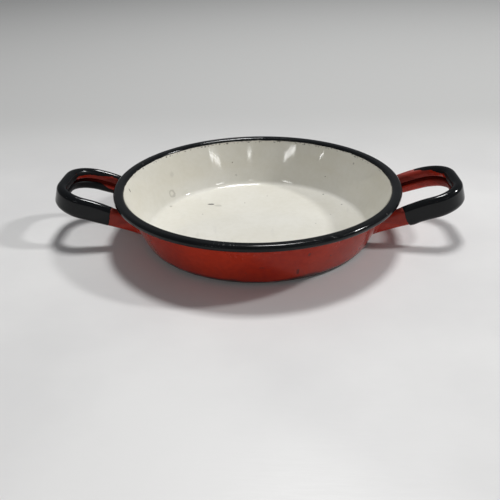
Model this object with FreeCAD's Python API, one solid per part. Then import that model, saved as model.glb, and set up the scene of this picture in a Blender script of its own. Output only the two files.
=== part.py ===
import FreeCAD
import Part
import math
import os

# Shallow two-handled pan of pressed steel, finished in vitreous enamel. Millimetres, +Z up.
# Origin: centre of the base, on the surface that the pan stands on. +X points at the right handle,
# -Y at the cook. The bowl is one pressed sheet with its rim rolled outward and down. Each handle is
# a strip curled to a C section, bent to a loop, and spot-welded to the wall at two feet. The pieces
# are glazed afterwards: white inside, red outside, black on the rim and over the grips.

# ---- sheet and glaze -------------------------------------------------------------------------
steel = 1.0                # thickness of the pressed bowl
glaze = 0.3                # thickness of every enamel coat
steel_face = steel / 2     # centre line of the sheet to its bare face
glaze_face = steel_face + glaze

# ---- bowl ------------------------------------------------------------------------------------
base_radius = 61.8         # flat part of the base
corner_radius = 5.0        # outside of the glazed corner between base and wall
wall_lean = 23.2           # degrees from vertical
rim_top = 30.2             # highest point of the glazed rim
crown_radius = 1.5         # inner shoulder of the rolled rim, to the sheet's centre line
crown_width = 1.8          # flat top of the rim
curl_radius = 0.9          # outer half turn of the rim, to the sheet's centre line
curl_return = 1.2          # stretch that runs back in under the rim
rim_glaze_drop = 1.3       # black enamel reaches this far down the inside, along the wall

# ---- handles ---------------------------------------------------------------------------------
strip = 1.2                # thickness of the handle strip
grip_height = 12.1         # glazed height of the C section
grip_depth = 5.7           # glazed depth of the C section
slot = 2.4                 # open seam of the C, facing into the loop
leg_spacing = 41.0         # centre to centre of the two legs
bend_radius = 14.3         # loop corners, to the centre of the section
loop_reach = 116.7         # pan axis to the centre of the loop's end, along the tilted loop
loop_tilt = 16.2           # degrees that each loop rises outward
loop_drop = 6.0            # height lost by the loop's plane at the pan axis
leg_root = 60.0            # legs are drawn from here, inside the wall, and then trimmed by it

# ---- feet ------------------------------------------------------------------------------------
foot_inner = 18.5          # each foot's pad lies on the wall between these distances from the
foot_outer = 29.0          # loop's middle
foot_low = 10.4
foot_high = 18.4
foot_corner = 2.5
weld_across = 26.0         # spot welds, from the loop's middle
weld_heights = (12.5, 16.3)
weld_radius = 1.6

# ---- cutting tools, which reach well past what they trim ------------------------------------
cutter_low = -20.0          # heights between which the wall's cone is drawn
cutter_high = 60.0
cutter_near = 40.0          # distances from the axis between which blocks and rods cross the wall
cutter_far = 90.0

# ---- where the black grip enamel stops, along the tilted loop from the pan axis ----------------
grip_black_edges = {
    "right_handle": {"near": 84.8, "far": 99.5},
    "left_handle": {"near": 85.3, "far": 78.0},
}

# A line of stretches is a list of (size, turn): a straight run of that length when turn is 0,
# otherwise an arc of that radius, turning left by that many degrees (right when negative).
wall_rise = 90.0 - wall_lean
corner_centre_radius = corner_radius - glaze_face
wall_foot_height = corner_radius - corner_centre_radius * math.cos(math.radians(wall_rise))
crown_foot_height = (rim_top - glaze_face
                     - crown_radius * (1 - math.sin(math.radians(wall_lean))))
wall_length = (crown_foot_height - wall_foot_height) / math.cos(math.radians(wall_lean))
bowl_line = [
    (base_radius, 0.0),
    (corner_centre_radius, wall_rise),
    (wall_length - rim_glaze_drop, 0.0),
    (rim_glaze_drop, 0.0),
    (crown_radius, -wall_rise),
    (crown_width, 0.0),
    (curl_radius, -180.0),
    (curl_return, 0.0),
]
BASE, CORNER, LOWER_WALL, UPPER_WALL, RETURN = 0, 1, 2, 3, 7

strip_face = strip / 2
end_radius = grip_depth / 2 - glaze - strip_face
web = grip_height - grip_depth
lip = (web - slot) / 2
grip_line = [
    (lip, 0.0),
    (end_radius, -180.0),
    (web, 0.0),
    (end_radius, -90.0),
    (end_radius, -90.0),
    (lip, 0.0),
]
UPPER_LIP, TOP_EDGE, BOTTOM_OUTER, BOTTOM_INNER, LOWER_LIP = 0, 1, 3, 4, 5


def vector(x, y, z):
    return FreeCAD.Vector(x, y, z)


def offset_edges(line, start, heading, offset):
    """Edges, in the XZ plane, of a line of stretches moved left by offset."""
    x, z = start
    edges = []
    for size, turn in line:
        left = vector(-math.sin(heading), 0, math.cos(heading))
        begin = vector(x, 0, z) + left * offset
        if turn == 0:
            x += size * math.cos(heading)
            z += size * math.sin(heading)
            edges.append(Part.makeLine(begin, vector(x, 0, z) + left * offset))
            continue
        side = math.copysign(1, turn)
        centre = vector(x, 0, z) + left * (side * size)
        reach = size - side * offset
        points = []
        for share in (0.5, 1.0):
            angle = heading + math.radians(turn) * share
            points.append(centre + vector(math.sin(angle), 0, -math.cos(angle)) * (side * reach))
        edges.append(Part.Arc(begin, points[0], points[1]).toShape())
        heading += math.radians(turn)
        x = centre.x + side * size * math.sin(heading)
        z = centre.z - side * size * math.cos(heading)
    return edges


def band_face(line, start, heading, low, high, first, last):
    """Flat band between two offsets of a line, from stretch number first to stretch number last."""
    near = offset_edges(line, start, heading, low)[first:last + 1]
    far = offset_edges(line, start, heading, high)[first:last + 1]
    caps = []
    for index, end in ((0, 0), (-1, -1)):
        caps.append(Part.makeLine(near[index].Vertexes[end].Point, far[index].Vertexes[end].Point))
    loose = near + far + caps
    return Part.Face(Part.Wire(Part.__sortEdges__(loose)))


def bowl_ring(low, high, first, last):
    """Part of the bowl between two offsets from the sheet's centre line, turned about the axis."""
    face = band_face(bowl_line, (0.0, glaze_face), 0.0, low, high, first, last)
    return face.revolve(vector(0, 0, 0), vector(0, 0, 1), 360)


def grip_section(low, high, first, last):
    """Band of the C section, centred on the origin, with its slot on the -X side."""
    return band_face(grip_line, (-end_radius, slot / 2), math.pi / 2, low, high, first, last)


def half_loop(section, leg_end):
    """End, corner and leg on the +Y side, swept from a section centred on the origin."""
    straight = leg_spacing / 2 - bend_radius
    start = section.translated(vector(loop_reach, 0, 0))
    end_run = start.extrude(vector(0, straight, 0))
    corner = section.translated(vector(bend_radius, 0, 0))
    corner = corner.revolve(vector(0, 0, 0), vector(0, 0, 1), 90)
    corner.translate(vector(loop_reach - bend_radius, straight, 0))
    leg = leg_run(section, loop_reach - bend_radius, leg_end)
    return [end_run, corner, leg]


def leg_run(section, outer, inner):
    """Straight stretch of the leg on the +Y side, from outer to inner along the loop."""
    start = section.rotated(vector(0, 0, 0), vector(0, 0, 1), 90)
    start.translate(vector(outer, leg_spacing / 2, 0))
    return start.extrude(vector(inner - outer, 0, 0))


def near_side(shape):
    """The same piece on the -Y side of the loop."""
    return shape.mirror(vector(0, 0, 0), vector(0, 1, 0))


def fused(shapes):
    return shapes[0].fuse(shapes[1:]).removeSplitter()


def wall_cone(distance):
    """Solid cone whose side lies this far outside the centre line of the bowl's wall."""
    lean = math.radians(wall_lean)
    line = offset_edges(bowl_line, (0.0, glaze_face), 0.0, -distance)
    foot = line[LOWER_WALL].Vertexes[0].Point
    radii = [foot.x + (height - foot.z) * math.tan(lean) for height in (cutter_low, cutter_high)]
    return Part.makeCone(radii[0], radii[1], cutter_high - cutter_low, vector(0, 0, cutter_low))


def tilted(shape, side):
    """Raise a flat loop to its tilt, and turn it to the left side of the pan if asked."""
    placed = shape.rotated(vector(0, 0, 0), vector(0, 1, 0), -loop_tilt)
    placed.translate(vector(0, 0, -loop_drop))
    if side == "left_handle":
        placed = placed.mirror(vector(0, 0, 0), vector(1, 0, 0))
    return placed


def pad_block(margin):
    """Round-cornered block that marks one foot's outline on the wall, on the +X +Y side."""
    corner = vector(cutter_near, foot_inner - margin, foot_low - margin)
    block = Part.makeBox(cutter_far - cutter_near, foot_outer - foot_inner + 2 * margin,
                         foot_high - foot_low + 2 * margin, corner)
    along_x = [edge for edge in block.Edges if abs(edge.tangentAt(0).x) > 0.9]
    return block.makeFillet(foot_corner + margin, along_x)


def quarter_copies(shape, side):
    """A piece drawn on the +X +Y side, copied to both feet of one handle."""
    if side == "left_handle":
        shape = shape.mirror(vector(0, 0, 0), vector(1, 0, 0))
    return {"far": shape, "near": near_side(shape)}


def make_strap(side):
    """Curled steel strip of one handle, with both feet laid on the wall."""
    section = grip_section(-strip_face, strip_face, UPPER_LIP, LOWER_LIP)
    half = half_loop(section, leg_root)
    loop = tilted(fused(half + [near_side(piece) for piece in half]), side)
    pads = quarter_copies(pad_block(0.0).common(wall_cone(glaze_face + strip)), side)
    return fused([loop, pads["far"], pads["near"]]).cut(wall_cone(glaze_face))


def make_grip_black(side):
    """Black coat on the outside, top and bottom of the loop, between the two dip lines."""
    edges = grip_black_edges[side]
    section = grip_section(strip_face, strip_face + glaze, TOP_EDGE, BOTTOM_OUTER)
    far = half_loop(section, edges["far"])
    near = [near_side(piece) for piece in half_loop(section, edges["near"])]
    return tilted(fused(far + near), side).cut(wall_cone(glaze_face))


def make_grip_red(side, strap, black):
    """Red coat on the inside of the loop, along both legs and over the feet."""
    upper = half_loop(grip_section(strip_face, strip_face + glaze, UPPER_LIP, UPPER_LIP), leg_root)
    lower = half_loop(grip_section(strip_face, strip_face + glaze, BOTTOM_INNER, LOWER_LIP),
                      leg_root)
    around = grip_section(strip_face, strip_face + glaze, TOP_EDGE, BOTTOM_OUTER)
    edges = grip_black_edges[side]
    legs = [leg_run(around, edges["far"], leg_root),
            near_side(leg_run(around, edges["near"], leg_root))]
    inside = [near_side(piece) for piece in upper + lower] + upper + lower
    loop = tilted(fused(inside + legs), side)
    pads = quarter_copies(pad_block(glaze).common(wall_cone(glaze_face + strip + glaze)), side)
    coat = fused([loop, pads["far"], pads["near"]])
    core = tilted(fused(leg_cores()), side)
    return coat.cut([wall_cone(glaze_face), strap, black, core])


def leg_cores():
    """Hollow of the C along both legs, which no coat fills."""
    half_depth = end_radius - strip_face
    middle = leg_spacing / 2
    length = loop_reach - bend_radius - leg_root
    cores = [
        Part.makeBox(length, 2 * half_depth, web, vector(leg_root, middle - half_depth, -web / 2)),
        Part.makeBox(length, grip_depth / 2, slot, vector(leg_root, middle - grip_depth / 2,
                                                          -slot / 2)),
    ]
    for height in (-web / 2, web / 2):
        cores.append(Part.makeCylinder(half_depth, length, vector(leg_root, middle, height),
                                       vector(1, 0, 0)))
    return cores + [near_side(core) for core in cores]


def make_welds(side, foot):
    """The spot welds that join one foot's pad to the steel wall."""
    layer = wall_cone(glaze_face).cut(wall_cone(steel_face))
    spots = []
    for height in weld_heights:
        rod = Part.makeCylinder(weld_radius, cutter_far - cutter_near,
                                vector(cutter_near, weld_across, height), vector(1, 0, 0))
        spots.append(quarter_copies(rod.common(layer), side)[foot])
    return Part.makeCompound(spots)


def save(name, shape):
    solids = shape.Solids
    if not solids or not shape.isValid():
        raise ValueError(name + " is not a valid solid")
    whole = solids[0] if len(solids) == 1 else Part.makeCompound(solids)
    whole.exportStep("parts/" + name + ".step")
    box = whole.optimalBoundingBox(False)
    print(name, len(solids), "solid(s),", round(whole.Volume), "mm3,",
          "x", round(box.XMin, 1), round(box.XMax, 1),
          "y", round(box.YMin, 1), round(box.YMax, 1),
          "z", round(box.ZMin, 1), round(box.ZMax, 1))


def main():
    os.makedirs("parts", exist_ok=True)
    save("pan_shell", bowl_ring(-steel_face, steel_face, BASE, RETURN))
    save("base_red_enamel", bowl_ring(-glaze_face, -steel_face, BASE, BASE))
    save("interior_white_enamel", bowl_ring(steel_face, glaze_face, BASE, LOWER_WALL))
    save("rim_black_enamel", bowl_ring(steel_face, glaze_face, UPPER_WALL, RETURN))
    wall_coat = bowl_ring(-glaze_face, -steel_face, CORNER, UPPER_WALL)
    for side in grip_black_edges:
        strap = make_strap(side)
        black = make_grip_black(side)
        save(side, strap)
        save(side + "_black_enamel", black)
        save(side + "_red_enamel", make_grip_red(side, strap, black))
        for foot in ("near", "far"):
            welds = make_welds(side, foot)
            save(side + "_" + foot + "_welds", welds)
            wall_coat = wall_coat.cut(welds)
    save("wall_red_enamel", wall_coat)


main()
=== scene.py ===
"""Shallow enamelled pan with two loop handles: its glazed skins, curled handles and their finishes.

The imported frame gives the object's sizes. This script dresses it: the bowl's coats are skins swept
round the pan's axis, each handle is a curled strip swept along its loop, and black glaze is dipped
over red. Every length is in metres, +Z is up, +X points at the right handle and -Y at the cook.
"""

import logging
import math
from dataclasses import dataclass, field
from enum import Enum
from typing import Callable, Iterable, Sequence

import bmesh
import bpy
from mathutils import Matrix, Vector, noise


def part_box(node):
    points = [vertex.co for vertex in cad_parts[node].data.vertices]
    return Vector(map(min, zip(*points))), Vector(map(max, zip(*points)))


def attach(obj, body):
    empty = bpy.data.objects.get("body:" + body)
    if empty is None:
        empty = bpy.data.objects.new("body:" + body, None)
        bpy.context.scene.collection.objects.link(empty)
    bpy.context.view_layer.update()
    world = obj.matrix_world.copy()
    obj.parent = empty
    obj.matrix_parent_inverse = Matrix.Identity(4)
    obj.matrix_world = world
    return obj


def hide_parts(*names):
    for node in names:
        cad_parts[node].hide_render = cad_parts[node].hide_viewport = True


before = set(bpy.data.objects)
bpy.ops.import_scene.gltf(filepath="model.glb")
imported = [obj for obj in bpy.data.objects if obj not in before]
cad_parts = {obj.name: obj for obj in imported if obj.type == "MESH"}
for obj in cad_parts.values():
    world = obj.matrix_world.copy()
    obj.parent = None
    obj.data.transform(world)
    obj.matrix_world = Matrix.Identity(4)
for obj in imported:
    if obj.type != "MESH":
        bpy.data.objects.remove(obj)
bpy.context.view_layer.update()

LOG = logging.getLogger("pan")
MM = 0.001
UP = Vector((0.0, 0.0, 1.0))

Pair = tuple[float, float]
Triple = tuple[float, float, float]
Colour = tuple[float, float, float, float]


class Side(Enum):
    """Which end of the pan a handle is on. The value is the sign of its X."""

    RIGHT = 1
    LEFT = -1


class Zone(Enum):
    """Record slots that the finishes belong to."""

    STEEL = "pressed_steel"
    STRIP = "handle_steel"
    WELD = "weld_steel"
    WHITE = "white_enamel"
    RED = "red_enamel"
    BLACK = "black_enamel"


# ---------------------------------------------------------------------------------------------
# Node graphs
# ---------------------------------------------------------------------------------------------


class Value:
    """A number or vector on a node's output, with arithmetic that adds the nodes it needs."""

    def __init__(self, graph: "Graph", socket: bpy.types.NodeSocket) -> None:
        """Keep the socket and the graph that it belongs to."""
        self.graph = graph
        self.socket = socket

    def math(self, operation: str, *others: "Value | float", flip: bool = False) -> "Value":
        """Join this value to others through one Math node.

        Args:
            operation: the Math node's operation.
            others: the remaining inputs, in order.
            flip: put this value second.

        Returns:
            The node's result.
        """
        items = [self, *others]
        if flip:
            items.reverse()
        return self.graph.value("ShaderNodeMath", {"operation": operation}, dict(enumerate(items)))

    def __add__(self, other: "Value | float") -> "Value":
        """Sum."""
        return self.math("ADD", other)

    __radd__ = __add__

    def __sub__(self, other: "Value | float") -> "Value":
        """Difference."""
        return self.math("SUBTRACT", other)

    def __rsub__(self, other: "Value | float") -> "Value":
        """Difference from a plain number."""
        return self.math("SUBTRACT", other, flip=True)

    def __mul__(self, other: "Value | float") -> "Value":
        """Product."""
        return self.math("MULTIPLY", other)

    __rmul__ = __mul__

    def __truediv__(self, other: "Value | float") -> "Value":
        """Quotient."""
        return self.math("DIVIDE", other)

    def __gt__(self, other: "Value | float") -> "Value":
        """1 where this value is larger, else 0."""
        return self.math("GREATER_THAN", other)

    def __lt__(self, other: "Value | float") -> "Value":
        """1 where this value is smaller, else 0."""
        return self.math("LESS_THAN", other)

    def most(self, other: "Value | float") -> "Value":
        """The larger of the two."""
        return self.math("MAXIMUM", other)

    def least(self, other: "Value | float") -> "Value":
        """The smaller of the two."""
        return self.math("MINIMUM", other)

    def ease(self, low: float, high: float, start: float = 0.0, end: float = 1.0) -> "Value":
        """Map low..high smoothly to start..end, held at both ends.

        Args:
            low: value that gives start.
            high: value that gives end.
            start: result at low.
            end: result at high.

        Returns:
            The mapped value.
        """
        settings = {"interpolation_type": "SMOOTHSTEP"}
        return self.graph.value("ShaderNodeMapRange", settings,
                                {"Value": self, "From Min": low, "From Max": high,
                                 "To Min": start, "To Max": end}, "Result")


class Graph:
    """A node tree with short ways to add nodes and read their outputs."""

    def __init__(self, tree: bpy.types.NodeTree) -> None:
        """Wrap a tree."""
        self.tree = tree

    @staticmethod
    def _socket(sockets: Iterable[bpy.types.NodeSocket], key: "str | int") -> bpy.types.NodeSocket:
        """Find a socket by number, by identifier, or by the name of one that is switched on."""
        listed = list(sockets)
        if isinstance(key, int):
            return listed[key]
        for socket in listed:
            if socket.enabled and key in (socket.identifier, socket.name):
                return socket
        raise KeyError(key)

    def add(self, kind: str, settings: dict, items: dict) -> bpy.types.Node:
        """Add one node.

        Args:
            kind: the node's type.
            settings: its properties.
            items: socket number or name to a value or a link.

        Returns:
            The node.
        """
        node = self.tree.nodes.new(kind)
        for name, setting in settings.items():
            setattr(node, name, setting)
        for key, item in items.items():
            socket = self._socket(node.inputs, key)
            if isinstance(item, Value):
                self.tree.links.new(item.socket, socket)
            else:
                socket.default_value = item
        return node

    def value(self, kind: str, settings: dict, items: dict, output: "str | int" = 0) -> Value:
        """Add one node and return one of its outputs."""
        node = self.add(kind, settings, items)
        return Value(self, self._socket(node.outputs, output))


class Surface(Graph):
    """A material's node tree, which ends in one Principled shader."""

    def __init__(self, name: str) -> None:
        """Start an empty material."""
        self.material = bpy.data.materials.new(name)
        self.material.use_nodes = True
        super().__init__(self.material.node_tree)
        self.tree.nodes.clear()
        self.place = self.value("ShaderNodeTexCoord", {}, {}, "Object")

    def cloud(self, grain: float, detail: float = 3.0, shift: float = 0.0,
              stretch: Triple = (1.0, 1.0, 1.0)) -> Value:
        """Soft noise, about 0.5 on average.

        Args:
            grain: features in a metre.
            detail: how many finer octaves.
            shift: moves the pattern, so that two clouds differ.
            stretch: how much finer it is along each axis.

        Returns:
            The noise, 0 to 1.
        """
        point = self.value("ShaderNodeMapping", {}, {"Vector": self.place, "Scale": stretch,
                                                     "Location": (shift, shift, shift)})
        return self.value("ShaderNodeTexNoise", {}, {"Vector": point, "Scale": grain,
                                                     "Detail": detail}, "Fac")

    def cells(self, grain: float, shift: float = 0.0) -> tuple[Value, Value]:
        """Scattered points: the distance to the nearest, in cells, and its random colour."""
        point = self.value("ShaderNodeMapping", {}, {"Vector": self.place,
                                                     "Location": (shift, shift, shift)})
        node = self.add("ShaderNodeTexVoronoi", {}, {"Vector": point, "Scale": grain})
        return Value(self, node.outputs["Distance"]), Value(self, node.outputs["Color"])

    def axis(self, letter: str) -> Value:
        """One object coordinate."""
        return self.value("ShaderNodeSeparateXYZ", {}, {0: self.place}, letter)

    def soot(self) -> Value:
        """How much painted shade and dulled gloss the mesh asks for, 0 to 1."""
        return self.value("ShaderNodeAttribute", {"attribute_name": "soot"}, {}, "Fac")

    def reach(self) -> Value:
        """Distance from the pan's axis."""
        flat = self.value("ShaderNodeVectorMath", {"operation": "MULTIPLY"},
                          {0: self.place, 1: (1.0, 1.0, 0.0)})
        return self.value("ShaderNodeVectorMath", {"operation": "LENGTH"}, {0: flat}, "Value")

    def blot(self, centre: Triple, size: float, ragged: float = 0.35,
             stretch: Triple = (1.0, 1.0, 1.0)) -> Value:
        """Signed closeness to a mark: 1 at its centre, 0 at its edge, with a ragged outline.

        Args:
            centre: the mark's middle.
            size: its radius.
            ragged: how uneven its outline is.
            stretch: larger than 1 makes it narrower along that axis.

        Returns:
            The closeness, negative outside.
        """
        offset = self.value("ShaderNodeVectorMath", {"operation": "SUBTRACT"},
                            {0: self.place, 1: centre})
        scaled = self.value("ShaderNodeVectorMath", {"operation": "MULTIPLY"},
                            {0: offset, 1: stretch})
        away = self.value("ShaderNodeVectorMath", {"operation": "LENGTH"}, {0: scaled}, "Value")
        uneven = (self.cloud(1.6 / size, 2.0) - 0.5) * (2.0 * ragged)
        return 1.0 - away / size + uneven

    def tint(self, share: Value, below: "Value | tuple", above: "Value | tuple") -> Value:
        """Mix two colours by a share of 0 to 1."""
        return self.value("ShaderNodeMix", {"data_type": "RGBA", "clamp_factor": True},
                          {"Factor_Float": share, "A_Color": below, "B_Color": above},
                          "Result_Color")

    def bump(self, height: Value, depth: float, under: "Value | None" = None) -> Value:
        """Normal of a surface raised by height times depth, on top of another normal."""
        items = {"Height": height, "Distance": depth, "Strength": 1.0}
        if under is not None:
            items["Normal"] = under
        return self.value("ShaderNodeBump", {}, items, "Normal")

    def shade(self, **sockets: "Value | float | tuple") -> bpy.types.Material:
        """End the tree in a Principled shader, with sockets named by words joined by _.

        Returns:
            The finished material.
        """
        items = {name.replace("_", " "): item for name, item in sockets.items()}
        shader = self.value("ShaderNodeBsdfPrincipled", {}, items, "BSDF")
        self.add("ShaderNodeOutputMaterial", {}, {"Surface": shader})
        return self.material


# ---------------------------------------------------------------------------------------------
# Finishes
# ---------------------------------------------------------------------------------------------


@dataclass(frozen=True)
class Pattern:
    """Soft noise, eased from least at its low level to most at its high one."""

    grain: float
    detail: float
    shift: float
    low: float
    high: float
    stretch: Triple = (1.0, 1.0, 1.0)
    least: float = 0.0
    most: float = 1.0

    def on(self, surface: Surface) -> Value:
        """The pattern over a surface."""
        noisy = surface.cloud(self.grain, self.detail, self.shift, self.stretch)
        return noisy.ease(self.low, self.high, self.least, self.most)


@dataclass(frozen=True)
class Mark:
    """One flaw in a glaze: where it is, how large, how far it stretches, and its colour."""

    centre: Triple
    size: float
    colour: Colour
    stretch: Triple = (1.0, 1.0, 1.0)
    hollow: float = 0.0
    strength: float = 1.0
    soft: float = 0.3


@dataclass(frozen=True)
class Glaze:
    """Vitreous enamel: mottled colour under a glossy, slightly rippled skin with fine flaws."""

    name: str
    colour: Colour
    deep: Colour
    fleck: Colour
    mottle: Pattern = Pattern(26.0, 4.0, 0.0, 0.32, 0.68)
    mottle_share: float = 0.65
    fine_mottle: Pattern = Pattern(364.0, 3.0, 3.7, 0.3, 0.7, most=0.35)
    fleck_grain: float = 210.0
    fleck_share: float = 0.06
    fleck_size: float = 0.10
    hollow_edge: float = 0.25
    gloss: float = 0.09
    rub: float = 0.16
    smear: Pattern = Pattern(34.0, 5.0, 8.1, 0.42, 0.72, (1.0, 2.6, 1.0))
    smear_share: float = 0.55
    scratch: Pattern = Pattern(60.0, 6.0, 5.2, 0.60, 0.66, (1.0, 14.0, 9.0))
    cross_scratch: Pattern = Pattern(60.0, 6.0, 2.9, 0.62, 0.67, (13.0, 1.0, 9.0))
    scratched: Pattern = Pattern(18.0, 2.0, 4.4, 0.5, 0.62)
    scratch_depth: float = 0.15
    flaw_rough: float = 0.3
    flaw_depth: float = 0.00008
    dull_rough: float = 0.5
    ripple_grain: float = 150.0
    ripple_depth: float = 0.00006
    peel_grain: float = 900.0
    peel_depth: float = 0.000008
    shine: float = 0.45
    index: float = 1.5
    marks: tuple[Mark, ...] = ()

    def paint(self, surface: Surface) -> Value:
        """Colour before wear and marks.

        Args:
            surface: the material's graph.

        Returns:
            The mottled colour.
        """
        share = self.mottle.on(surface) * self.mottle_share + self.fine_mottle.on(surface)
        return surface.tint(share.least(1.0), self.colour, self.deep)

    def flaws(self, surface: Surface, colour: Value) -> tuple[Value, Value]:
        """Add pin-sized flecks and the placed marks to a colour.

        Args:
            surface: the material's graph.
            colour: the colour so far.

        Returns:
            The new colour, and how deep the flaws sit, 0 to 1.
        """
        away, chance = surface.cells(self.fleck_grain, 1.3)
        pick = surface.value("ShaderNodeSeparateColor", {}, {0: chance}, "Red")
        chosen = pick < self.fleck_share
        fleck = chosen * away.ease(self.fleck_size * 0.6, self.fleck_size, 1.0, 0.0)
        colour = surface.tint(fleck, colour, self.fleck)
        depth = fleck
        for mark in self.marks:
            close = surface.blot(mark.centre, mark.size, stretch=mark.stretch)
            shape = close.ease(0.0, mark.soft)
            if mark.hollow:
                shape = shape * close.ease(mark.hollow, mark.hollow + self.hollow_edge, 1.0, 0.0)
            shape = shape * mark.strength
            colour = surface.tint(shape, colour, mark.colour)
            depth = depth.most(shape)
        return colour, depth

    def wear(self, surface: Surface, colour: Value) -> Value:
        """Hook for a finish with worn, stained or darkened zones, or painted shade, of its own."""
        return colour

    def make(self) -> bpy.types.Material:
        """Build the material."""
        surface = Surface(self.name)
        colour = self.wear(surface, self.paint(surface))
        colour, depth = self.flaws(surface, colour)
        lines = self.scratch.on(surface).most(self.cross_scratch.on(surface))
        lines = lines * self.scratched.on(surface)
        rough = self.gloss + self.smear.on(surface) * self.rub * self.smear_share
        rough = rough + lines * self.rub + depth * self.flaw_rough
        rough = rough + surface.soot() * self.dull_rough
        ripple = surface.cloud(self.ripple_grain, detail=1.0, shift=6.6)
        skin = surface.bump(ripple, self.ripple_depth)
        peel = surface.cloud(self.peel_grain, detail=2.0, shift=7.7)
        skin = surface.bump(peel, self.peel_depth, skin)
        sunk = 1.0 - depth.most(lines * self.scratch_depth)
        skin = surface.bump(sunk, self.flaw_depth, skin)
        return surface.shade(Base_Color=colour, Roughness=rough, Normal=skin, IOR=self.index,
                             Specular_IOR_Level=self.shine)


@dataclass(frozen=True)
class InsideGlaze(Glaze):
    """The cream lining, a little stained up the wall and scuffed on the floor."""

    floor_height: float = 2.2 * MM
    stain: Colour = (0.62, 0.57, 0.44, 1.0)
    stain_rise: float = 12 * MM
    stain_share: float = 0.30
    bands: Pattern = Pattern(30.0, 4.0, 2.2, 0.35, 0.75, (1.0, 1.0, 3.0), least=0.3)
    chips: Pattern = Pattern(800.0, 2.0, 6.2, 0.58, 0.64)
    chip_height: float = 27.6 * MM
    chip_fade: float = 40 * MM
    chip_share: float = 0.8
    scuff: Colour = (0.50, 0.49, 0.46, 1.0)
    scuff_share: float = 0.22
    trails: Pattern = Pattern(46.0, 5.0, 9.3, 0.60, 0.70, (4.0, 1.0, 1.0))
    patches: Pattern = Pattern(24.0, 2.0, 1.7, 0.45, 0.65)

    def wear(self, surface: Surface, colour: Value) -> Value:
        """Stain the wall in bands, chip it under the rim, and scuff the floor with tool marks.

        Args:
            surface: the material's graph.
            colour: the colour so far.

        Returns:
            The worn colour.
        """
        height = surface.axis("Z")
        top = self.floor_height + self.stain_rise
        wall = height.ease(self.floor_height, top, 0.0, self.stain_share)
        colour = surface.tint(wall * self.bands.on(surface), colour, self.stain)
        chips = self.chips.on(surface) * (height > self.chip_height)
        chips = chips * surface.axis("Y").ease(0.0, self.chip_fade) * self.chip_share
        colour = surface.tint(chips, colour, DARK)
        scuffs = self.trails.on(surface) * self.patches.on(surface)
        scuffs = scuffs * (height < self.floor_height) * self.scuff_share
        return surface.tint(scuffs, colour, self.scuff)


@dataclass(frozen=True)
class OutsideGlaze(Glaze):
    """Red outside: painted shade low and in handle channels, dark base edge, rubbed standing ring.
    """

    # Dark colour for the base edge, and for the painted shade inside the handle channels.
    dark_edge_and_shade: Colour = (0.045, 0.013, 0.010, 1.0)
    bare: Colour = (0.16, 0.09, 0.07, 1.0)
    edge_heights: Pair = (1.6 * MM, 4.3 * MM)
    edge_share: float = 0.92
    edge_grain: float = 55.0
    edge_stray: float = 6.0 * MM
    edge_reach: float = 68.5 * MM
    # Painted shade: how high and how strongly the wall darkens towards the base.
    shade_rise: float = 14 * MM
    shade_share: float = 0.38
    channel_shade_share: float = 0.6
    ring_from: float = 57.5 * MM
    ring_fade: float = 2 * MM
    ring_height: float = 0.2 * MM
    rubbed: Pattern = Pattern(160.0, 5.0, 3.1, 0.40, 0.60)

    def wear(self, surface: Surface, colour: Value) -> Value:
        """Paint shade low on the wall and in handle channels, darken the base edge, rub the standing
        ring.

        Args:
            surface: the material's graph.
            colour: the colour so far.

        Returns:
            The worn colour.
        """
        height = surface.axis("Z")
        reach = surface.reach()
        # Painted shade: the wall darkens towards the base.
        low = height.ease(0.0, self.shade_rise, self.shade_share, 0.0)
        colour = surface.tint(low, colour, self.deep)
        # A ragged darker line along the base edge.
        uneven = (surface.cloud(self.edge_grain, detail=4.0, shift=4.8) - 0.5) * self.edge_stray
        edge = (height + uneven).ease(*self.edge_heights, self.edge_share, 0.0)
        colour = surface.tint(edge * (reach < self.edge_reach), colour, self.dark_edge_and_shade)
        # Painted shade inside the handle channels, where the mesh asks for it.
        colour = surface.tint(surface.soot() * self.channel_shade_share, colour, self.dark_edge_and_shade)
        worn = reach.ease(self.ring_from, self.ring_from + self.ring_fade)
        worn = worn * (height < self.ring_height) * self.rubbed.on(surface)
        return surface.tint(worn, colour, self.bare)


@dataclass(frozen=True)
class Steel:
    """Pickled pressed steel: grey, faintly directional, with firescale in patches."""

    name: str
    colour: Colour = (0.34, 0.34, 0.35, 1.0)
    scale: Colour = (0.09, 0.075, 0.07, 1.0)
    patches: Pattern = Pattern(60.0, 5.0, 0.0, 0.45, 0.65)
    grain: float = 420.0
    grain_depth: float = 0.00001
    gloss: float = 0.34
    uneven: float = 0.2
    dulled: float = 0.7

    def make(self) -> bpy.types.Material:
        """Build the material."""
        surface = Surface(self.name)
        patch = self.patches.on(surface)
        colour = surface.tint(patch, self.colour, self.scale)
        drawn = surface.cloud(self.grain, detail=3.0, shift=1.0, stretch=(1.0, 1.0, 8.0))
        rough = self.gloss + drawn * self.uneven + patch * self.uneven
        return surface.shade(Base_Color=colour, Metallic=1.0 - patch * self.dulled,
                             Roughness=rough, Normal=surface.bump(drawn, self.grain_depth))


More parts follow.
